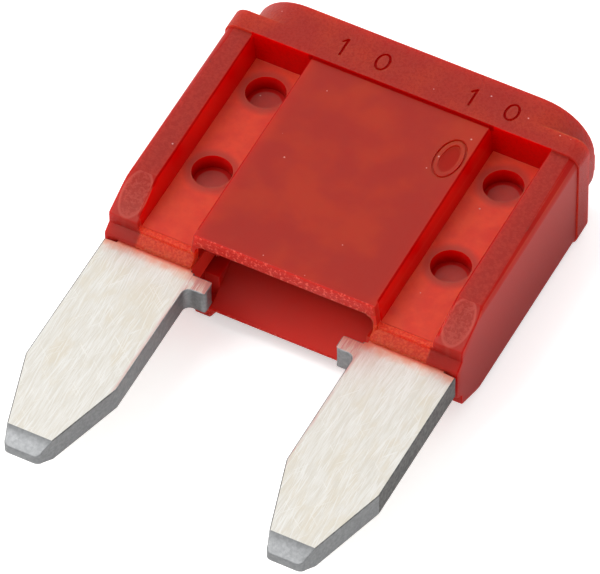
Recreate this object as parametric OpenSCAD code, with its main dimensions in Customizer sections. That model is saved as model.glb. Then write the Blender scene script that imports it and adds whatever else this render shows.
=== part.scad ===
// Miniature automotive blade fuse, lying on its back as on a bench.
// X runs across the two blades, Y runs from the blade tips to the head, Z is up.
// The origin is below the middle of the fuse, on the surface it lies on.

/* [Whole fuse] */
// Length of the housing from its lower end to the top of the head
body_l = 8.8; // [8.4:0.1:10]
// Length of blade that stands out of the housing
blade_l = 7.5; // [6.5:0.1:9]

/* [Housing body] */
// Width of the body below the head
body_w = 10.9; // [10.6:0.1:12]
// Thickness of the body where it meets the head
body_t = 3.6; // [3.4:0.1:4.2]
// Thickness of the body at its lower end
body_end_t = 3.3; // [3.2:0.1:3.6]
// Radius along the four long edges of the body
body_edge_r = 0.35; // [0.1:0.05:0.5]
// Width of the rim along each side
rim_w = 0.94; // [0.8:0.02:1.1]
// Setback of the raised middle from the lower end
centre_setback = 0.22; // [0:0.02:0.3]

/* [Head] */
// Height of the whole head
head_h = 1.55; // [1.3:0.05:1.9]
// Thickness of the head
head_t = 3.8; // [3.7:0.1:4.4]
// Overhang of the ledge at the foot of the head, past each side of the body
ledge_out = 0.05; // [0:0.05:0.5]
// Height of that ledge
ledge_h = 0.65; // [0.4:0.05:1]
// Radius of the ledge's four corners, seen from the top
ledge_r = 0.45; // [0.2:0.05:0.8]
// Setback of the crown's two ends from the ledge below it
crown_in = 0.25; // [0.1:0.05:0.5]
// Radius of the crown's four corners, seen from the top
crown_r = 1.55; // [0.8:0.05:1.8]

/* [Channels over the blades] */
// Width of the channel floor
channel_w = 1.64; // [1.5:0.02:1.7]
// Height of the channel floor above the middle plane of the blades
channel_floor = 0.85; // [0.75:0.05:1]
// Draft of the channel's side walls in degrees
channel_draft = 6; // [0:1:8]
// Radius of the staking pits
stake_r = 0.58; // [0.4:0.02:0.62]
// Depth of the staking pits below the channel floor
stake_depth = 0.5; // [0.3:0.05:0.6]
// Distance of the first staking pit from the lower end
stake_first = 3.05; // [2.6:0.05:3.4]
// Distance between the two staking pits of a blade
stake_pitch = 3.2; // [2.6:0.1:3.4]
// Wall round each pit where the plastic passes through the leg
stake_wall = 0.09; // [0.06:0.01:0.12]

/* [Lower end of the housing] */
// Length over which the lip slopes down to the blade
lip_l = 0.45; // [0.35:0.05:0.7]
// Thickness of the lip's edge over the blade
lip_t = 0.1; // [0.05:0.01:0.2]
// Distance of the side rims above the lower end
rim_setback = 0.28; // [0.1:0.02:0.34]
// Height of the side rims above the middle plane where they end
rim_foot = 1.12; // [0.9:0.02:1.3]
// Distance above the lower end at which the side rims reach their full height
scoop_l = 1.6; // [1:0.1:2.4]

/* [Mouth] */
// Side wall left beside the mouth
mouth_side = 0.12; // [0.1:0.01:0.3]
// Thickness of the front wall at the mouth
mouth_wall = 0.4; // [0.3:0.02:0.5]
// Depth of the pockets at the two ends of the mouth
pocket_depth = 0.75; // [0.4:0.05:1]
// Length of each pocket along the mouth
pocket_l = 0.47; // [0.3:0.01:0.6]
// Height at which the funnel between the pockets narrows to the slot of the stamping
funnel_h = 1.5; // [1:0.1:2]
// Radius of the mouth's and the cavity's corners
cavity_r = 0.3; // [0.1:0.05:0.4]

/* [Cavity] */
// Side wall left beside the cavity round the fuse link
cavity_side = 0.62; // [0.4:0.02:0.8]
// Thickness of the cavity, from its front to its back
cavity_t = 1.7; // [1.2:0.1:1.9]
// Height of the cavity's top above the lower end
cavity_h = 6.6; // [6.2:0.1:6.8]

/* [Recess in the back] */
// Width of the recess at the surface
recess_w = 4.6; // [4:0.1:5]
// Depth of the recess
recess_depth = 0.32; // [0.2:0.02:0.34]
// Slope of its side walls from upright in degrees
recess_slope = 30; // [0:5:45]
// Distance of its upper end below the head
recess_drop = 0.6; // [0.3:0.1:2]

/* [Blades] */
// Distance of each blade's outer edge inside the side of the body
blade_inset = 0.05; // [0:0.05:0.2]
// Width of each blade
blade_w = 2.8; // [2.6:0.05:2.9]
// Thickness of the stamping
blade_t = 0.8; // [0.6:0.05:0.9]
// Length of the taper at the end of each blade
taper_l = 2.35; // [1.5:0.05:3]
// Width of the blade where the taper ends
taper_w = 1.4; // [1:0.05:2]
// Length of the chisel bevel at the tip
bevel_l = 0.55; // [0.3:0.05:0.9]
// Width of the tip
tip_w = 1.15; // [0.8:0.05:1.4]
// Thickness of the tip
tip_t = 0.3; // [0.2:0.05:0.5]
// Radius of the tip's two corners
tip_r = 0.2; // [0.05:0.05:0.3]

/* [Legs inside the housing] */
// Width of each leg
leg_w = 2.3; // [2.2:0.05:2.4]
// Distance of each leg's outer edge inside the outer edge of its blade
leg_inset = 0.375; // [0.3:0.025:0.45]
// Distance of the top of each leg below the top of the head
leg_drop = 0.8; // [0.5:0.05:1]
// Clearance round the stamping inside the housing
fit_gap = 0.04; // [0.02:0.01:0.06]
// Width of the test window over each leg
window_w = 1.5; // [1:0.1:1.8]

/* [Trimmed tie bar stubs] */
// Length of each stub from the blade's inner edge
stub_l = 0.6; // [0.3:0.05:0.8]
// Height of each stub
stub_h = 0.5; // [0.3:0.05:0.7]
// Distance of the stubs below the housing
stub_drop = 0.1; // [0.05:0.05:0.3]
// Radius of the fillet below each stub
stub_r = 0.22; // [0.05:0.01:0.3]

/* [Fuse link] */
// Width of the link
link_w = 0.55; // [0.4:0.05:0.7]
// Thickness of the link
link_t = 0.3; // [0.2:0.05:0.5]
// Radius of the link's two bends, on the centre line
link_r = 0.8; // [0.6:0.05:0.9]
// Half the length of the link's middle stretch
link_half_l = 0.65; // [0.4:0.05:0.8]
// Distance of the link's lower end above the lower end of the housing
link_y = 1.7; // [1.4:0.1:2]
// Radius of the notches that neck the link down in its middle
notch_r = 0.16; // [0.08:0.02:0.2]

/* [Hidden] */

$fn = 64;
FAR = 20;              // longer than any piece, for cuts that run right through
CUT = 0.5;             // how far a cut runs past the face that it opens

head_y = body_l - head_h;
ledge_y = body_l - head_h + ledge_h;
ledge_w = body_w + 2 * ledge_out;
crown_w = ledge_w - 2 * crown_in;
blade_pitch = body_w - 2 * blade_inset - blade_w;
leg_pitch = body_w - 2 * (blade_inset + leg_inset) - leg_w;
leg_top = body_l - leg_drop;
channel_out = body_w / 2 - rim_w;
channel_in = channel_out - channel_w;
channel_mid = (channel_in + channel_out) / 2;
centre_w = 2 * channel_in;
mouth_w = centre_w - 2 * mouth_side;
mouth_t = body_end_t - 2 * mouth_wall;
funnel_w = mouth_w - 2 * pocket_l;
cavity_w = centre_w - 2 * cavity_side;
slot_half = blade_t / 2 + fit_gap;
stake_ys = [stake_first, stake_first + stake_pitch];
tip_y = -blade_l;
bevel_y = tip_y + bevel_l;
taper_y = bevel_y + taper_l;
link_mid = link_y + 2 * link_r;
leg_in = (leg_pitch - leg_w) / 2;
leg_out = (leg_pitch + leg_w) / 2;
stake_hole_r = stake_r + stake_wall + fit_gap;

// Half thickness of the body at a height above its lower end
function body_half(y) = (body_end_t + (body_t - body_end_t) * y / head_y) / 2;

// Moves what is drawn about the middle plane and the lower end to its place at rest
module at_rest() {
    translate([0, (blade_l - body_l) / 2, head_t / 2]) children();
}

// Puts a shape on both sides of the middle plane
module front_and_back() {
    for (side = [0, 1]) mirror([0, 0, side]) children();
}

// Puts a shape on both the right and the left
module right_and_left() {
    for (side = [0, 1]) mirror([side, 0, 0]) children();
}

// Rectangle about the origin with round corners
module round_rect(w, h, r) {
    square([w - 2 * r, h], center = true);
    square([w, h - 2 * r], center = true);
    for (x = [-1, 1], y = [-1, 1])
        translate([x * (w / 2 - r), y * (h / 2 - r)]) circle(r);
}

// Extrudes an outline drawn across X and Z along Y, from y0 to y1
module along_y(y0, y1) {
    translate([0, y1, 0]) rotate([90, 0, 0]) linear_extrude(y1 - y0) children();
}

// Extrudes an outline drawn across Y and Z along X, centred, to width w
module along_x(w) {
    rotate([90, 0, 90]) linear_extrude(w, center = true) children();
}

// Side outline from points on the front half, closed by the same points on the back half
module mirrored_outline(front) {
    polygon([for (p = front) p, for (i = [len(front) - 1:-1:0]) [front[i][0], -front[i][1]]]);
}

// Side outline of the lips: thin at the blade, then sloping up to the channel floor
module lip_outline() {
    mirrored_outline([[0, slot_half + lip_t], [lip_l, channel_floor], [ledge_y, channel_floor]]);
}

// Side outline of the rims, which slope down towards the lips
module rim_outline() {
    mirrored_outline([
        [rim_setback, rim_foot], [scoop_l, body_half(scoop_l)],
        [head_y, body_half(head_y)], [ledge_y, body_half(head_y)]
    ]);
}

// Side outline of the raised middle
module centre_outline() {
    mirrored_outline([
        [centre_setback, body_half(centre_setback)],
        [head_y, body_half(head_y)], [ledge_y, body_half(head_y)]
    ]);
}

module body_shell() {
    intersection() {
        union() {
            along_x(body_w) lip_outline();
            along_x(body_w) rim_outline();
            along_x(centre_w) centre_outline();
        }
        along_y(-CUT, body_l) round_rect(body_w, body_t, body_edge_r);
    }
}

module head() {
    along_y(head_y, ledge_y) round_rect(ledge_w, head_t, ledge_r);
    along_y(head_y, body_l) round_rect(crown_w, head_t, crown_r);
}

// Channel over one blade, open at the lower end, with drafted side walls
module channel() {
    top = head_t;
    spread = (top - channel_floor) * tan(channel_draft);
    along_y(-CUT, head_y) polygon([
        [channel_in, channel_floor], [channel_out, channel_floor],
        [channel_out + spread, top], [channel_in - spread, top]
    ]);
}

// Mouth between the blades: a funnel down to the slot, with a deeper pocket at each end
module mouth() {
    along_x(funnel_w) mirrored_outline([
        [-CUT, mouth_t / 2], [centre_setback, mouth_t / 2], [funnel_h, slot_half]
    ]);
    difference() {
        along_y(-CUT, pocket_depth) round_rect(mouth_w, mouth_t, cavity_r);
        along_x(funnel_w) mirrored_outline([[-FAR, FAR], [FAR, FAR]]);
    }
}

// The cavity round the link, and the slots that hold the legs
module cavity() {
    along_y(funnel_h, cavity_h) round_rect(cavity_w, cavity_t, cavity_r);
    right_and_left() {
        translate([0, -CUT, -slot_half])
            cube([leg_out + fit_gap, leg_top + fit_gap + CUT, 2 * slot_half]);
        translate([(leg_pitch - window_w) / 2, 0, -slot_half])
            cube([window_w, body_l + CUT, 2 * slot_half]);
    }
}

// Recess in the back of the raised middle, open at the lower end
module back_recess() {
    floor_z = body_end_t / 2 - recess_depth;
    side = tan(recess_slope);
    floor_w = recess_w / 2 - recess_depth * side;
    top_w = floor_w + (head_t - floor_z) * side;
    mirror([0, 0, 1]) along_y(-CUT, head_y - recess_drop) polygon([
        [-floor_w, floor_z], [floor_w, floor_z], [top_w, head_t], [-top_w, head_t]
    ]);
}

// Plastic that is pressed through the holes of the legs
module stakes() {
    right_and_left() for (y = stake_ys)
        translate([channel_mid, y, -slot_half]) cylinder(r = stake_r + stake_wall, h = 2 * slot_half);
}

module stake_pits() {
    front_and_back() right_and_left() for (y = stake_ys)
        translate([channel_mid, y, channel_floor - stake_depth])
            cylinder(r = stake_r, h = stake_depth + CUT);
}

module housing() {
    color([0.8, 0.07, 0.05]) at_rest() difference() {
        union() {
            difference() {
                union() {
                    body_shell();
                    head();
                }
                mouth();
                cavity();
                back_recess();
                front_and_back() right_and_left() channel();
            }
            stakes();
        }
        stake_pits();
    }
}

// Flat outline of the right blade, with its shoulder just below the housing
module blade_outline() {
    translate([blade_pitch / 2, 0]) {
        polygon([
            [-blade_w / 2, -fit_gap], [-blade_w / 2, taper_y], [-taper_w / 2, bevel_y],
            [-tip_w / 2, tip_y + tip_r], [-tip_w / 2 + tip_r, tip_y],
            [tip_w / 2 - tip_r, tip_y], [tip_w / 2, tip_y + tip_r],
            [taper_w / 2, bevel_y], [blade_w / 2, taper_y], [blade_w / 2, -fit_gap]
        ]);
        for (side = [-1, 1]) translate([side * (tip_w / 2 - tip_r), tip_y + tip_r]) circle(tip_r);
    }
}

// Side outline that thins the stamping to a chisel at the blade tips
module bevel_outline() {
    polygon([
        [tip_y, -tip_t / 2], [bevel_y, -blade_t / 2], [body_l, -blade_t / 2],
        [body_l, blade_t / 2], [bevel_y, blade_t / 2], [tip_y, tip_t / 2]
    ]);
}

module leg_outline() {
    difference() {
        translate([leg_in, -CUT]) square([leg_w, leg_top + CUT]);
        for (y = stake_ys) translate([channel_mid, y]) circle(stake_hole_r);
    }
}

// What is left of the bar that tied the blades together before trimming
module stub_outline() {
    inner = (blade_pitch - blade_w) / 2;
    foot = -stub_drop - stub_h;
    translate([inner - stub_l, foot]) square([stub_l + CUT, stub_h]);
    difference() {
        translate([inner - stub_r, foot - stub_r]) square([stub_r + CUT, stub_r + CUT / 2]);
        translate([inner - stub_r, foot - stub_r]) circle(stub_r);
    }
}

// Half of the S-shaped link: from its middle, round the bend and back to the left leg
module half_link_outline() {
    translate([0, -link_w / 2]) square([link_half_l, link_w]);
    translate([link_half_l, link_r]) intersection() {
        difference() {
            circle(link_r + link_w / 2);
            circle(link_r - link_w / 2);
        }
        translate([0, -FAR / 2]) square(FAR);
    }
    translate([-leg_in - CUT, 2 * link_r - link_w / 2])
        square([leg_in + CUT + link_half_l, link_w]);
}

module link_outline() {
    translate([0, link_mid]) difference() {
        for (turn = [0, 180]) rotate(turn) half_link_outline();
        for (side = [-1, 1]) translate([0, side * link_w / 2]) circle(notch_r);
    }
}

module stamping_outline() {
    right_and_left() {
        blade_outline();
        leg_outline();
        stub_outline();
    }
}

module fuse_element() {
    color([0.86, 0.84, 0.8]) at_rest() {
        intersection() {
            linear_extrude(blade_t, center = true) stamping_outline();
            along_x(FAR) bevel_outline();
        }
        linear_extrude(link_t, center = true) link_outline();
    }
}

housing();
fuse_element();
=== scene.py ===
"""Looks of the miniature blade fuse: a translucent red moulding staked to a bright stamping."""

import math
from types import SimpleNamespace

import bmesh
import bpy
from mathutils import Matrix, Vector


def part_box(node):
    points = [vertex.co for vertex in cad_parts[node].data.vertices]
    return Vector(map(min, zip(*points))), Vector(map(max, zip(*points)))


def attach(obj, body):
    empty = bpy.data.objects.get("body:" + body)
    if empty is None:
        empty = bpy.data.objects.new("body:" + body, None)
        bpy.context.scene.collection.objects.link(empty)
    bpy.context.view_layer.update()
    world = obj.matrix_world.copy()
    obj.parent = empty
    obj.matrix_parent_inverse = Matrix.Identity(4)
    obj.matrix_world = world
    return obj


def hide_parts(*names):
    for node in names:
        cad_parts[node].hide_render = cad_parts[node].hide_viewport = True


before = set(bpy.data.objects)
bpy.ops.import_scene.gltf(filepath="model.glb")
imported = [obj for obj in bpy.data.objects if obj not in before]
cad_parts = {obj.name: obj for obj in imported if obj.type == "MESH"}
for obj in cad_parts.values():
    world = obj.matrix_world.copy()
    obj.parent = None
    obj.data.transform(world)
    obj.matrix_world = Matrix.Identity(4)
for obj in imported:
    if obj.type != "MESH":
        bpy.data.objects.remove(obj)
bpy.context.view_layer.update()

# Lengths are in millimetres. Multiplied by MM they are in metres
MM = 0.001

# The middle of the housing's lower end, from which the lengths below are counted
housing_low, housing_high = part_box("housing")
LIP_Y = housing_low.y / MM
MID_Z = housing_high.z / MM / 2

# The two ends of the fuse
element_low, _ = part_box("fuse_element")
HEAD_TOP = housing_high.y / MM - LIP_Y
TIP = element_low.y / MM - LIP_Y

# Sizes of the housing that its colours and marks follow
HEAD_H = 1.55
HEAD_Y = HEAD_TOP - HEAD_H
HEAD_HALF_T = 1.9
CENTRE_HALF_T = 1.75
CENTRE_END = 0.22
CHANNEL_IN = 2.87
CHANNEL_OUT = 4.51
CHANNEL_FLOOR = 0.85
CHANNEL_DRAFT = 0.12
LIP_L = 0.45
LIP_LOW = 0.46
LIP_HIGH = 0.9
FOOT_L = 1.6
PIT_X = 3.69
PIT_YS = (3.05, 6.25)
PIT_R = 0.58
PIT_FLOOR = 0.35

# Limits outside the mouth and its cavity, and outside the slot of the stamping
MOUTH_HALF_W = 2.8
MOUTH_HALF_T = 1.27
MOUTH_END = 7.5
SLOT_HALF_T = 0.5

# The number on the head, cut in at two places that are the foot of its figure 1
NUMBER_PLACES = ((-2.1, 7.6), (1.9, 7.6))
DIGIT_H = 0.66
DIGIT_PITCH = 1.2
DIGIT_DEPTH = 0.05
HALF_STROKE = 0.04
ONE_OUTLINE = (
    (-HALF_STROKE, 0), (HALF_STROKE, 0), (HALF_STROKE, DIGIT_H), (-HALF_STROKE, DIGIT_H),
    (-0.17, DIGIT_H - 0.16), (-0.11, DIGIT_H - 0.20), (-HALF_STROKE, DIGIT_H - 0.13),
)
NOUGHT_OUTER = (0.22, DIGIT_H / 2)
NOUGHT_INNER = (0.14, DIGIT_H / 2 - 0.08)

# Where the number is darkened with painted shade: along the head, in depth and to each side
NUMBER_ROW = (7.5, 8.4)
NUMBER_FLOOR = (1.8, 1.88)
NUMBER_REACH = 3.4

# The ejector mark on the raised middle, with the half widths of its ovals
MARK_AT = (2.26, 5.76)
MARK_OUTER = (0.42, 0.74)
MARK_INNER = (0.35, 0.66)
MARK_DISH = (0.25, 0.53)
MARK_DEPTH = 0.05
DISH_DEPTH = 0.03

# How far the cutters of the marks stand out of the surface
CUTTER_OUT = 0.2

# The mottled oval on the foot of each rim, with the half widths of its outline and its middle
PATCH_AT = (4.97, 0.98)
PATCH_OUTER = (0.43, 0.72)
PATCH_INNER = (0.38, 0.67)

# Colours of the plastic, with two colours where a tint is mottled or fades from one to the other
BODY_REDS = ((0.44, 0.017, 0.010, 1), (0.51, 0.029, 0.009, 1))
# Side wall reds, from low to high up the side: the darker low part is painted shade
SIDE_SHADE_REDS = ((0.34, 0.003, 0.002, 1), (0.46, 0.012, 0.008, 1))
# Channel floor reds, brighter than the body: painted light glowing through from the metal beneath
CHANNEL_GLOW_REDS = ((0.80, 0.050, 0.028, 1), (0.92, 0.076, 0.032, 1))
PIT_RING_RED = (0.52, 0.05, 0.032, 1)
PIT_CORNER_RED = (0.62, 0.0, 0.0, 1)
PIT_FLOOR_REDS = ((0.46, 0.05, 0.042, 1), (0.60, 0.08, 0.066, 1))
WALL_RED = (0.70, 0.0, 0.0, 1)
# Mouth reds, from its left to its right: brightened as painted light let in through the thin plastic, and
# darker to the left as painted shade
MOUTH_LIGHT_SHADE_REDS = ((0.50, 0.012, 0.009, 1), (0.76, 0.030, 0.018, 1))
LIP_REDS = ((0.84, 0.024, 0.008, 1), (1.0, 0.085, 0.026, 1))
RIM_REDS = ((0.38, 0.012, 0.008, 1), (0.44, 0.022, 0.013, 1))
FOOT_RED = (0.42, 0.006, 0.003, 1)
PATCH_LINE_RED = (0.52, 0.065, 0.045, 1)
PATCH_REDS = ((0.40, 0.015, 0.009, 1), (0.49, 0.042, 0.028, 1))
BAND_REDS = ((0.60, 0.010, 0.005, 1), (0.88, 0.12, 0.075, 1))
HEAD_GRAIN_RED = (0.36, 0.002, 0.002, 1)
DUST = (0.85, 0.5, 0.45, 1)
# Dark red of the painted shade along edges and in the cut figures
SHADE_LINE_RED = (0.40, 0.0, 0.0, 1)

# Colours of the light that the plastic's faces, sides and deep places mirror
FACE_SHEEN = (1, 0.85, 0.72, 1)
SIDE_SHEEN = (1, 0.55, 0.4, 1)
DEEP_SHEEN = (1, 0.04, 0.04, 1)

# Colours of the metal
BRIGHT = ((0.79, 0.755, 0.68, 1), (0.89, 0.87, 0.82, 1))
SMEAR = (0.80, 0.73, 0.60, 1)
SCRATCH = (0.97, 0.96, 0.93, 1)
# Painted reflections of the red plastic on the metal by the lip and on the stubs
LIP_REFLECTION_RED = (0.86, 0.34, 0.19, 1)
STUB_REFLECTION_PINK = (0.70, 0.40, 0.36, 1)
SHEARED_GREYS = ((0.10, 0.10, 0.10, 1), (0.20, 0.196, 0.19, 1))
PALE_GREYS = ((0.25, 0.255, 0.26, 1), (0.32, 0.325, 0.33, 1))
METAL_IN_PLASTIC = (0.85, 0.03, 0.015, 1)

# Sizes of the stamping that its colours follow
BEVEL_L = 0.55
STUB_X = 2.6

# Directions of the scratches in degrees, with the noise level at which each kind starts
SCRATCHES = ((-7, 0.62), (5, 0.62), (38, 0.70), (-50, 0.71))

# Largest distance between merged vertices, and angles in degrees that tell edges apart
MERGE_DISTANCE = 0.001
FLAT_BELOW = 0.4
ROUNDED_FROM = 28
SHARP_FROM = 30
CHANNEL_SHARP_FROM = 1

# Widths of the rounded edges
HOUSING_ROUNDING = 0.05
ELEMENT_ROUNDING = 0.15

# The camera, fitted to the photograph
VIEW_AZIMUTH = 27.9
VIEW_ELEVATION = 51.0
VIEW_ROLL = -0.6
VIEW_DISTANCE = 259.9
PHOTO_WIDTH = 600
PHOTO_SCALE = 36.58
AIM_RIGHT = 0.546
AIM_UP = 0.774
SENSOR = 36.0

# The light and the white surroundings
LAMP_AT = (-190, -60, 345)
LAMP_SIZE = 280
LAMP_WATTS = 0.75
WORLD_STRENGTH = 0.8
FLOOR_HALF = 500
FLOOR_GLOW = 0.45


def add(mesh_or_curve, name):
    """Links new data to the scene as an object."""
    thing = bpy.data.objects.new(name, mesh_or_curve)
    bpy.context.scene.collection.objects.link(thing)
    return thing


def to_frame(x, y, z):
    """A point counted from the middle of the lip, as a point of the frame in metres."""
    return Vector((x, y + LIP_Y, z + MID_Z)) * MM


def from_lip(edge):
    """The two ends of an edge in millimetres from the middle of the lip."""
    return [vert.co / MM - Vector((0, LIP_Y, MID_Z)) for vert in edge.verts]


def view_axes():
    """Right, up and backward directions of the camera."""
    azimuth, elevation, roll = map(math.radians, (VIEW_AZIMUTH, VIEW_ELEVATION, VIEW_ROLL))
    back = Vector((
        math.sin(azimuth) * math.cos(elevation),
        -math.cos(azimuth) * math.cos(elevation),
        math.sin(elevation),
    ))
    level = Vector((math.cos(azimuth), math.sin(azimuth), 0))
    upright = back.cross(level)
    right = math.cos(roll) * level + math.sin(roll) * upright
    up = math.cos(roll) * upright - math.sin(roll) * level
    return right, up, back


def make_camera():
    """The photograph's camera, aimed a little above and to the right of the lip's middle."""
    right, up, back = view_axes()
    aim = Vector((0, LIP_Y, MID_Z)) + AIM_RIGHT * right + AIM_UP * up
    camera = add(bpy.data.cameras.new("camera"), "camera")
    turn = Matrix((right, up, back)).transposed().to_4x4()
    camera.matrix_world = Matrix.Translation((aim + VIEW_DISTANCE * back) * MM) @ turn
    camera.data.sensor_width = SENSOR
    camera.data.lens = PHOTO_SCALE * VIEW_DISTANCE * SENSOR / PHOTO_WIDTH
    camera.data.clip_start = 0.01
    camera.data.clip_end = 10
    bpy.context.scene.camera = camera


class Nodes:
    """A short way to write a material's node tree."""

    def __init__(self, name):
        self.material = bpy.data.materials.new(name)
        self.material.use_nodes = True
        self.tree = self.material.node_tree
        self.tree.nodes.clear()
        self.out = self.node("ShaderNodeOutputMaterial")

    def node(self, kind, inputs=(), **settings):
        """A new node with its inputs linked or set, by name or by place."""
        made = self.tree.nodes.new(kind)
        for key, value in settings.items():
            setattr(made, key, value)
        for key, value in dict(inputs).items():
            self.set(made.inputs[key], value)
        return made

    def set(self, socket, value):
        """Links a socket to an input, or gives the input a plain value."""
        if isinstance(value, bpy.types.NodeSocket):
            self.tree.links.new(value, socket)
        else:
            socket.default_value = value

    def math(self, operation, a, b=0.0):
        made = self.node("ShaderNodeMath", {0: a, 1: b}, operation=operation)
        return made.outputs[0]

    def vector_math(self, operation, a, b=(0, 0, 0)):
        made = self.node("ShaderNodeVectorMath", {0: a, 1: b}, operation=operation)
        return made.outputs["Value" if operation == "LENGTH" else "Vector"]

    def all_of(self, *masks):
        """The product of masks or numbers."""
        product = masks[0]
        for mask in masks[1:]:
            product = self.math("MULTIPLY", product, mask)
        return product

    def any_of(self, *masks):
        """The largest of some masks."""
        largest = masks[0]
        for mask in masks[1:]:
            largest = self.math("MAXIMUM", largest, mask)
        return largest

    def mix(self, factor, a, b):
        made = self.node("ShaderNodeMix", {0: factor, 6: a, 7: b}, data_type="RGBA")
        return made.outputs[2]

    def ramp(self, value, low, high, out_low=0.0, out_high=1.0):
        """A smooth step from out_low at the value low to out_high at the value high."""
        made = self.node("ShaderNodeMapRange", {0: value, 1: low, 2: high, 3: out_low, 4: out_high},
                         interpolation_type="SMOOTHSTEP")
        return made.outputs[0]

    def above(self, value, limit, soft):
        """A mask that is 1 from the limit up and fades out over the soft width below it."""
        return self.ramp(value, limit - soft, limit)

    def below(self, value, limit, soft):
        """A mask that is 1 up to the limit and fades out over the soft width above it."""
        return self.ramp(value, limit + soft, limit)

    def between(self, value, low, high, soft=0.03):
        """A mask that is 1 from low to high and fades out over the soft width outside."""
        return self.all_of(self.above(value, low, soft), self.below(value, high, soft))

    def place(self):
        """The point on the part in millimetres from the middle of its lip, and its three parts."""
        spot = self.node("ShaderNodeTexCoord").outputs["Object"]
        scaled = self.vector_math("MULTIPLY", spot, (1 / MM,) * 3)
        moved = self.vector_math("ADD", scaled, (0, -LIP_Y, -MID_Z))
        parts = self.node("ShaderNodeSeparateXYZ", {0: moved})
        return moved, *parts.outputs

    def steepness(self):
        """How far the surface faces across, along and up, each from 0 to 1."""
        normal = self.node("ShaderNodeNewGeometry").outputs["True Normal"]
        parts = self.node("ShaderNodeSeparateXYZ", {0: normal})
        return [self.math("ABSOLUTE", part) for part in parts.outputs]

    def noise(self, vector, scale, detail=2.0, rough=0.5, squash=(1, 1, 1)):
        made = self.node("ShaderNodeTexNoise", {
            "Vector": self.vector_math("MULTIPLY", vector, squash),
            "Scale": scale,
            "Detail": detail,
            "Roughness": rough,
        })
        return made.outputs["Fac"]

    def specks(self, vector, scale, size):
        """A mask of scattered round specks, one in each cell of the given scale."""
        cells = self.node("ShaderNodeTexVoronoi", {"Vector": vector, "Scale": scale})
        return self.ramp(cells.outputs["Distance"], size, size * 0.6)

    def oval(self, x, y, centre, half, inner):
        """A mask of an oval that is 1 up to the share inner of its half widths."""
        parts = [self.math("DIVIDE", self.math("SUBTRACT", value, centre[axis]), half[axis])
                 for axis, value in enumerate((x, y))]
        squares = self.math("ADD", *[self.math("MULTIPLY", part, part) for part in parts])
        return self.ramp(squares, 1.0, inner * inner)

    def turned(self, vector, degrees):
        made = self.node("ShaderNodeVectorRotate", {"Vector": vector, "Angle": math.radians(degrees)})
        return made.outputs[0]

    def bump(self, height, strength, distance, normal=None):
        """The surface's direction where a height makes it uneven, on top of another one if given."""
        made = self.node("ShaderNodeBump", {
            "Height": height, "Strength": strength, "Distance": distance * MM})
        if normal:
            self.set(made.inputs["Normal"], normal)
        return made.outputs["Normal"]

    def finish(self, surface):
        self.set(self.out.inputs["Surface"], surface)
        return self.material


def pit_masks(n, side, y):
    """The surroundings of the staking pits and the middle of their floors."""
    around = 0
    core = 0
    for pit_y in PIT_YS:
        offset = n.node("ShaderNodeCombineXYZ", {
            0: n.math("SUBTRACT", side, PIT_X), 1: n.math("SUBTRACT", y, pit_y), 2: 0.0})
        away = n.vector_math("LENGTH", offset.outputs[0])
        around = n.any_of(n.below(away, PIT_R + 0.05, 0.27), around)
        core = n.any_of(n.below(away, PIT_R - 0.16, 0.06), core)
    return around, core


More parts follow.
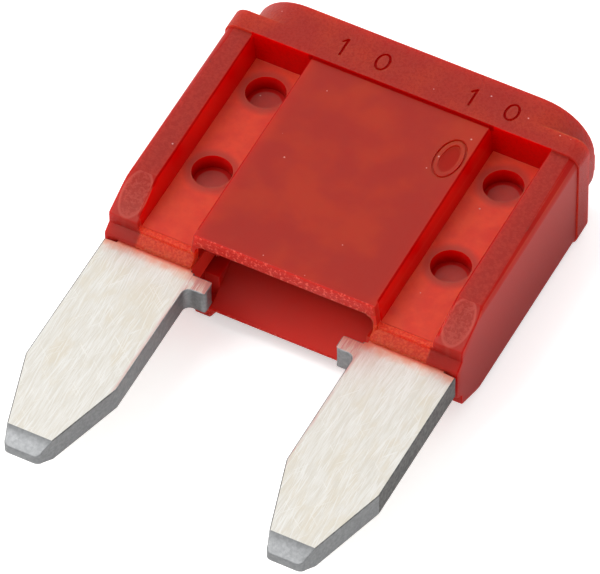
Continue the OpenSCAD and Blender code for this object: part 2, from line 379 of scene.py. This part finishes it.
def housing_masks(n):
    """Masks that are each 1 on one part of the housing, with the places and grains they share."""
    m = SimpleNamespace()
    m.where, m.x, m.y, m.z = n.place()
    m.side = n.math("ABSOLUTE", m.x)
    side = m.side
    y = m.y
    height = n.math("ABSOLUTE", m.z)
    across, along, up = n.steepness()
    m.grain = n.noise(m.where, 14.0, 3.0, 0.6)
    m.coarse = n.noise(m.where, 9.0, 2.0, 0.7)

    # Large parts
    m.flat = n.above(up, 0.97, 0.07)
    m.side_wall = n.above(across, 0.95, 0.15)
    m.head = n.above(y, HEAD_Y + 0.01, 0.02)
    m.rim = n.all_of(n.above(side, CHANNEL_OUT + 0.04, 0.04), m.flat, n.below(y, HEAD_Y, 0.01))
    m.foot = n.all_of(n.above(side, CHANNEL_OUT, 0.1), n.below(y, FOOT_L, 0.15), n.above(along, 0.35, 0.15))
    m.mouth = n.all_of(
        n.below(side, MOUTH_HALF_W, 0.04), n.below(height, MOUTH_HALF_T, 0.05), n.below(y, MOUTH_END, 0.2))
    m.lip = n.all_of(
        n.below(y, LIP_L - 0.02, 0.04), n.below(height, LIP_HIGH, 0.05), n.above(height, LIP_LOW, 0.04),
        n.below(side, CHANNEL_OUT - 0.1, 0.4))

    # The lower edge of the raised middle
    m.band = n.all_of(
        n.between(y, CENTRE_END - 0.1, CENTRE_END + 0.04), n.above(height, MOUTH_HALF_T, 0.05),
        n.below(side, MOUTH_HALF_W - 0.1, 0.1))

    # Channels and pits
    in_channel = n.all_of(
        n.between(side, CHANNEL_IN - CHANNEL_DRAFT, CHANNEL_OUT + CHANNEL_DRAFT),
        n.above(y, LIP_L + 0.05, 0.1),
        n.below(y, HEAD_Y + 0.01, 0.02),
        n.above(height, PIT_FLOOR, 0.1),
    )
    m.glossy = n.all_of(in_channel, n.math("SUBTRACT", 1.0, m.flat))
    m.floor = n.all_of(in_channel, m.flat, n.between(height, CHANNEL_FLOOR - 0.1, CHANNEL_FLOOR + 0.1))
    m.pit_floor = n.all_of(in_channel, m.flat, n.below(height, PIT_FLOOR + 0.1, 0.3))
    m.by_pit, m.pit_core = pit_masks(n, side, y)

    # Painted shade: narrow dark lines along the channel, head and body edges and in the cut figures, and a
    # darkened ejector dish
    front = n.above(m.z, 1.2, 0.2)
    channel_edge = n.all_of(
        in_channel, n.between(up, 0.25, 0.955, 0.02), n.above(height, 1.6, 0.1),
        n.below(y, HEAD_Y - 0.15, 0.05))
    body_edge = n.all_of(
        n.between(across, 0.3, 0.72, 0.08), n.above(side, 5.0, 0.1), n.below(y, HEAD_Y - 0.02, 0.02))
    head_line = n.all_of(
        n.between(y, HEAD_Y - 0.045, HEAD_Y + 0.01, 0.015), n.above(height, 1.7, 0.04),
        n.below(side, CHANNEL_IN - 0.02, 0.04))
    figures = n.all_of(
        front, n.between(y, *NUMBER_ROW), n.between(m.z, *NUMBER_FLOOR, 0.008),
        n.below(side, NUMBER_REACH, 0.1))
    dish = n.all_of(front, n.oval(m.x, y, MARK_AT, MARK_DISH, 0.8))
    m.lines = n.any_of(channel_edge, head_line, figures, n.all_of(dish, 0.6), n.all_of(body_edge, 0.7))
    return m


def plastic_tint(n, m):
    """The plastic's colour: the body's first, then part by part over it."""
    cloud = n.noise(m.where, 0.6, 3.0)
    blotch = n.noise(m.where, 1.6, 3.0, 0.6)
    tint = n.mix(n.ramp(cloud, 0.40, 0.66), *BODY_REDS)
    # The side walls fade from a darker red low down to a lighter red at the top: painted shade
    tint = n.mix(m.side_wall, tint, n.mix(n.ramp(m.z, -1.3, 1.5), *SIDE_SHADE_REDS))
    # Channel floors get a brighter orange-red, painted light glowing through from the metal beneath,
    # mottled by blotches
    tint = n.mix(m.floor, tint, n.mix(n.ramp(blotch, 0.3, 0.7), *CHANNEL_GLOW_REDS))
    tint = n.mix(n.all_of(m.floor, m.by_pit), tint, PIT_RING_RED)
    worn = n.mix(blotch, *PIT_FLOOR_REDS)
    tint = n.mix(m.pit_floor, tint, n.mix(m.pit_core, PIT_CORNER_RED, worn))
    tint = n.mix(m.glossy, tint, WALL_RED)
    # The mouth is brightened for light let in through the thin plastic and darker to the left: painted
    # light and shade
    tint = n.mix(m.mouth, tint, n.mix(n.ramp(m.x, -2.4, 2.4), *MOUTH_LIGHT_SHADE_REDS))
    tint = n.mix(m.lip, tint, n.mix(n.ramp(m.grain, 0.40, 0.62), *LIP_REDS))
    tint = n.mix(m.rim, tint, n.mix(n.ramp(m.coarse, 0.4, 0.64), *RIM_REDS))
    mottled = n.mix(n.ramp(m.coarse, 0.42, 0.62), *PATCH_REDS)
    foot = n.mix(n.oval(m.side, m.y, PATCH_AT, PATCH_OUTER, 0.9), FOOT_RED, PATCH_LINE_RED)
    foot = n.mix(n.oval(m.side, m.y, PATCH_AT, PATCH_INNER, 0.85), foot, mottled)
    tint = n.mix(m.foot, tint, foot)
    tint = n.mix(m.band, tint, n.mix(n.ramp(m.coarse, 0.52, 0.64), *BAND_REDS))
    tint = n.mix(n.all_of(m.head, n.ramp(m.grain, 0.46, 0.60, 0.0, 0.45)), tint, HEAD_GRAIN_RED)
    tint = n.mix(n.all_of(n.specks(m.where, 1.7, 0.05), m.flat), tint, DUST)
    # Painted shade: dark red along the edges and in the cut figures
    return n.mix(m.lines, tint, SHADE_LINE_RED)


def plastic_relief(n, m):
    """The plastic's unevenness: a fine grain, stronger on the head, and coarse on lips and edges."""
    strength = n.math("ADD", n.math("MULTIPLY", m.head, 2.2), 0.25)
    fine = n.all_of(m.grain, strength, n.math("SUBTRACT", 1.0, m.glossy))
    faint = n.math("MULTIPLY", n.math("ADD", m.rim, m.foot), 0.35)
    crumpled = n.math("MULTIPLY", m.coarse, n.math("ADD", n.math("ADD", m.lip, m.band), faint))
    return n.bump(crumpled, 0.8, 0.05, n.bump(fine, 0.5, 0.02))


def plastic():
    """Translucent red plastic: satin outside, glossy on the walls of the channels and pits."""
    n = Nodes("translucent_red")
    m = housing_masks(n)
    deep = n.any_of(m.glossy, n.all_of(m.mouth, 0.5), m.lines)
    sheen = n.mix(deep, n.mix(m.side_wall, FACE_SHEEN, SIDE_SHEEN), DEEP_SHEEN)
    rough = n.math("ADD", n.ramp(m.glossy, 0, 1, 0.46, 0.12), n.all_of(m.grain, m.flat, m.head, 0.1))
    shader = n.node("ShaderNodeBsdfPrincipled", {
        "Base Color": plastic_tint(n, m),
        "Roughness": rough,
        "IOR": 1.5,
        "Specular IOR Level": 0.3,
        "Specular Tint": sheen,
        "Subsurface Weight": 1.0,
        "Subsurface Radius": (1.0, 0.12, 0.08),
        "Subsurface Scale": 1.0 * MM,
        "Transmission Weight": 0.2,
        "Normal": plastic_relief(n, m),
    })
    return n.finish(shader.outputs[0])


def metal():
    """Bright stamping, brushed along the blades, with grey sheared edges."""
    n = Nodes("brushed_stamping")
    where, x, y, _ = n.place()
    _, along, up = n.steepness()
    flat = n.above(up, 0.995, 0.035)
    inside = n.above(y, 0.06, 0.06)
    stub = n.all_of(n.below(n.math("ABSOLUTE", x), STUB_X, 0.15), n.below(y, -0.1, 0.1))
    bevel = n.below(y, TIP + BEVEL_L - 0.02, 0.04)
    taper = n.above(along, 0.3, 0.15)

    # Flat faces: brushed, smeared and scratched, with painted reflections of the red plastic near the lip
    # and on the stubs
    strokes = n.noise(where, 6.0, 4.0, 0.7, squash=(3.0, 0.2, 1.0))
    smears = n.noise(where, 1.1, 4.0, 0.65, squash=(1.2, 0.6, 1.0))
    scratches = 0
    for degrees, level in SCRATCHES:
        thin = n.noise(n.turned(where, degrees), 3.0, 1.0, 0.5, squash=(8.0, 0.3, 1.0))
        scratches = n.any_of(n.ramp(thin, level, level + 0.04, 0.0, 0.55), scratches)
    ragged = n.all_of(n.noise(where, 3.0, 3.0, 0.6), 0.5)
    near_lip = n.ramp(n.math("ADD", y, ragged), -0.2, 0.28)
    bright = n.mix(n.ramp(strokes, 0.35, 0.65), *BRIGHT)
    bright = n.mix(n.ramp(smears, 0.45, 0.66, 0.0, 0.6), bright, SMEAR)
    bright = n.mix(scratches, bright, SCRATCH)
    bright = n.mix(n.all_of(near_lip, 0.85), bright, LIP_REFLECTION_RED)
    bright = n.mix(n.all_of(stub, n.ramp(strokes, 0.4, 0.6)), bright, STUB_REFLECTION_PINK)

    # Sheared edges, paler on the stubs, the tapers and the tips
    pits = n.ramp(n.noise(where, 9.0, 3.0, 0.6), 0.3, 0.7)
    grey = n.mix(n.any_of(stub, bevel, taper), n.mix(pits, *SHEARED_GREYS), n.mix(pits, *PALE_GREYS))

    shader = n.node("ShaderNodeBsdfPrincipled", {
        "Base Color": n.mix(inside, n.mix(flat, grey, bright), METAL_IN_PLASTIC),
        "Metallic": n.math("SUBTRACT", 1.0, inside),
        "Roughness": n.ramp(flat, 0, 1, 0.5, 0.42),
        "Normal": n.bump(n.math("ADD", strokes, scratches), 0.25, 0.01),
    })
    return n.finish(shader.outputs[0])


def backdrop():
    """White floor that keeps a soft shadow and looks white to the camera."""
    n = Nodes("white_floor")
    matte = n.node("ShaderNodeBsdfDiffuse", {"Color": (0.95, 0.95, 0.95, 1)})
    path = n.node("ShaderNodeLightPath")
    glow = n.node("ShaderNodeEmission", {
        "Color": (1, 1, 1, 1), "Strength": n.all_of(path.outputs["Is Camera Ray"], FLOOR_GLOW)})
    both = n.node("ShaderNodeAddShader", {0: matte.outputs[0], 1: glow.outputs[0]})
    return n.finish(both.outputs[0])


def settle(piece, node):
    """Makes a piece stand for a CAD node."""
    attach(piece, "root")
    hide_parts(node)


def modify(piece, kind, **settings):
    """Adds a modifier to a piece."""
    made = piece.modifiers.new(kind.lower(), kind)
    for key, value in settings.items():
        setattr(made, key, value)


def apply_modifiers(piece):
    """Turns a piece with its modifiers into a plain mesh."""
    evaluated = piece.evaluated_get(bpy.context.evaluated_depsgraph_get())
    mesh = bpy.data.meshes.new_from_object(evaluated)
    piece.modifiers.clear()
    piece.data = mesh


def clean_copy(node, name):
    """A copy of a CAD node with its triangles merged back into flat faces."""
    piece = add(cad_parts[node].data.copy(), name)
    piece.data.materials.clear()
    modify(piece, "WELD", merge_threshold=MERGE_DISTANCE * MM)
    modify(piece, "DECIMATE", decimate_type="DISSOLVE", angle_limit=math.radians(FLAT_BELOW))
    apply_modifiers(piece)
    return piece


def soften(piece, width, segments, weigh, split_faces=False):
    """Rounds the outer edges of a piece, each by its own share of the width."""
    graph = bmesh.new()
    graph.from_mesh(piece.data)
    if split_faces:
        bmesh.ops.connect_verts_concave(graph, faces=graph.faces)
    weights = graph.edges.layers.float.new("bevel_weight_edge")
    for edge in graph.edges:
        if edge.is_convex and edge.calc_face_angle(0) > math.radians(ROUNDED_FROM):
            edge[weights] = weigh(*from_lip(edge))
    graph.to_mesh(piece.data)
    graph.free()
    modify(piece, "BEVEL", width=width * MM, segments=segments, limit_method="WEIGHT",
           use_clamp_overlap=False, harden_normals=False)
    apply_modifiers(piece)


def ellipse(centre, half, steps=48):
    """Points of an ellipse across the fuse, in millimetres."""
    turns = [2 * math.pi * step / steps for step in range(steps)]
    return [(centre[0] + half[0] * math.cos(turn), centre[1] + half[1] * math.sin(turn)) for turn in turns]


def add_loop(graph, outline, level):
    """Adds the vertices of an outline at a height above the middle plane."""
    return [graph.verts.new(to_frame(px, py, level)) for px, py in outline]


def add_plug(graph, outline, low, high):
    """Adds a closed plug with the given outline, from one height to another."""
    bottom = add_loop(graph, outline, low)
    top = add_loop(graph, outline, high)
    count = len(outline)
    graph.faces.new(list(reversed(bottom)))
    graph.faces.new(top)
    for here in range(count):
        after = (here + 1) % count
        graph.faces.new((bottom[here], bottom[after], top[after], top[here]))


def add_ring(graph, centre, outer, inner, low, high):
    """Adds a closed oval ring between two pairs of half widths."""
    low_out, high_out, low_in, high_in = [
        add_loop(graph, ellipse(centre, half), level) for half in (outer, inner) for level in (low, high)]
    count = len(low_out)
    for here in range(count):
        after = (here + 1) % count
        graph.faces.new((low_out[here], low_out[after], high_out[after], high_out[here]))
        graph.faces.new((low_in[after], low_in[here], high_in[here], high_in[after]))
        graph.faces.new((low_out[after], low_out[here], low_in[here], low_in[after]))
        graph.faces.new((high_out[here], high_out[after], high_in[after], high_in[here]))


def engrave(piece, draw):
    """Cuts the marks that draw adds to a graph out of a piece."""
    graph = bmesh.new()
    draw(graph)
    mesh = bpy.data.meshes.new("cutter")
    graph.to_mesh(mesh)
    graph.free()
    cutter = add(mesh, "cutter")
    modify(piece, "BOOLEAN", operation="DIFFERENCE", object=cutter, solver="EXACT")
    apply_modifiers(piece)
    bpy.data.objects.remove(cutter)


def draw_digits(graph):
    """The number 10, twice, on the front of the head."""
    low = HEAD_HALF_T - DIGIT_DEPTH
    high = HEAD_HALF_T + CUTTER_OUT
    for left, foot in NUMBER_PLACES:
        add_plug(graph, [(left + px, foot + py) for px, py in ONE_OUTLINE], low, high)
        centre = (left + DIGIT_PITCH, foot + DIGIT_H / 2)
        add_ring(graph, centre, NOUGHT_OUTER, NOUGHT_INNER, low, high)


def draw_ejector_mark(graph):
    """An oval groove round a raised line and a shallow dish, near the middle's upper right corner."""
    high = CENTRE_HALF_T + CUTTER_OUT
    add_ring(graph, MARK_AT, MARK_OUTER, MARK_INNER, CENTRE_HALF_T - MARK_DEPTH, high)
    add_plug(graph, ellipse(MARK_AT, MARK_DISH), CENTRE_HALF_T - DISH_DEPTH, high)


def housing_weight(a, b):
    """How much the housing's edge from a to b is rounded: not at all inside, and less at the ledge."""
    ends = (a, b)
    inside = all(abs(p.x) < MOUTH_HALF_W and abs(p.z) < MOUTH_HALF_T + 0.03 for p in ends)
    slot = all(abs(p.z) < SLOT_HALF_T for p in ends)
    pit = all(abs(p.z) < CHANNEL_FLOOR + 0.01 and LIP_L + 0.1 < p.y < HEAD_Y - 0.1 for p in ends)
    crown_foot = all(HEAD_Y + 0.5 < p.y < HEAD_TOP - 0.2 for p in ends)
    if inside or slot or pit or crown_foot:
        return 0.0
    ledge = all(abs(p.y - HEAD_Y) < 0.01 for p in ends)
    return 0.35 if ledge else 1.0


def is_upright(a, b):
    """Whether the edge from a to b runs through the thickness."""
    return abs(b.z - a.z) > 0.9 * (b - a).length


def element_weight(a, b):
    """How much the stamping's edge is rounded: not at all in the plastic, most at the stubs' corners."""
    if max(a.y, b.y) > 0.01:
        return 0.0
    return 1.0 if is_upright(a, b) and abs(a.x) < STUB_X - 0.1 else 0.2


def sharp_from(a, b):
    """The angle in degrees from which the edge from a to b is sharp: small along the channels."""
    in_channel = all(
        CHANNEL_IN - 0.1 < abs(p.x) < CHANNEL_OUT + 0.05 and p.y < HEAD_Y - 0.05 for p in (a, b))
    return CHANNEL_SHARP_FROM if in_channel and not is_upright(a, b) else SHARP_FROM


def shade(piece, material):
    """Gives a piece its material, with smooth curves and even flat faces."""
    mesh = piece.data
    mesh.materials.append(material)
    mesh.shade_smooth()
    graph = bmesh.new()
    graph.from_mesh(mesh)
    for edge in graph.edges:
        edge.smooth = edge.calc_face_angle(0) < math.radians(sharp_from(*from_lip(edge)))
    graph.to_mesh(mesh)
    graph.free()
    modify(piece, "WEIGHTED_NORMAL", keep_sharp=True, weight=100)


def make_housing():
    piece = clean_copy("housing", "housing_moulding")
    soften(piece, HOUSING_ROUNDING, 2, housing_weight, split_faces=True)
    engrave(piece, draw_digits)
    engrave(piece, draw_ejector_mark)
    shade(piece, plastic())
    settle(piece, "housing")


def make_element():
    piece = clean_copy("fuse_element", "stamped_element")
    soften(piece, ELEMENT_ROUNDING, 3, element_weight)
    shade(piece, metal())
    settle(piece, "fuse_element")


def make_floor():
    mesh = bpy.data.meshes.new("floor")
    half = FLOOR_HALF * MM
    corners = [(-half, -half, 0), (half, -half, 0), (half, half, 0), (-half, half, 0)]
    mesh.from_pydata(corners, [], [(0, 1, 2, 3)])
    floor = add(mesh, "floor")
    floor.data.materials.append(backdrop())


def make_lamp():
    """A round lamp that points at the part."""
    lamp = add(bpy.data.lights.new("key", "AREA"), "key")
    lamp.data.shape = "DISK"
    lamp.data.size = LAMP_SIZE * MM
    lamp.data.energy = LAMP_WATTS
    lamp.location = Vector(LAMP_AT) * MM
    lamp.rotation_mode = "QUATERNION"
    lamp.rotation_quaternion = lamp.location.to_track_quat("Z", "Y")


def make_world():
    world = bpy.data.worlds.new("studio")
    world.use_nodes = True
    light = world.node_tree.nodes["Background"]
    light.inputs["Color"].default_value = (1, 1, 1, 1)
    light.inputs["Strength"].default_value = WORLD_STRENGTH
    bpy.context.scene.world = world


make_camera()
make_housing()
make_element()
make_floor()
make_world()
make_lamp()
bpy.context.scene.view_settings.view_transform = "Standard"
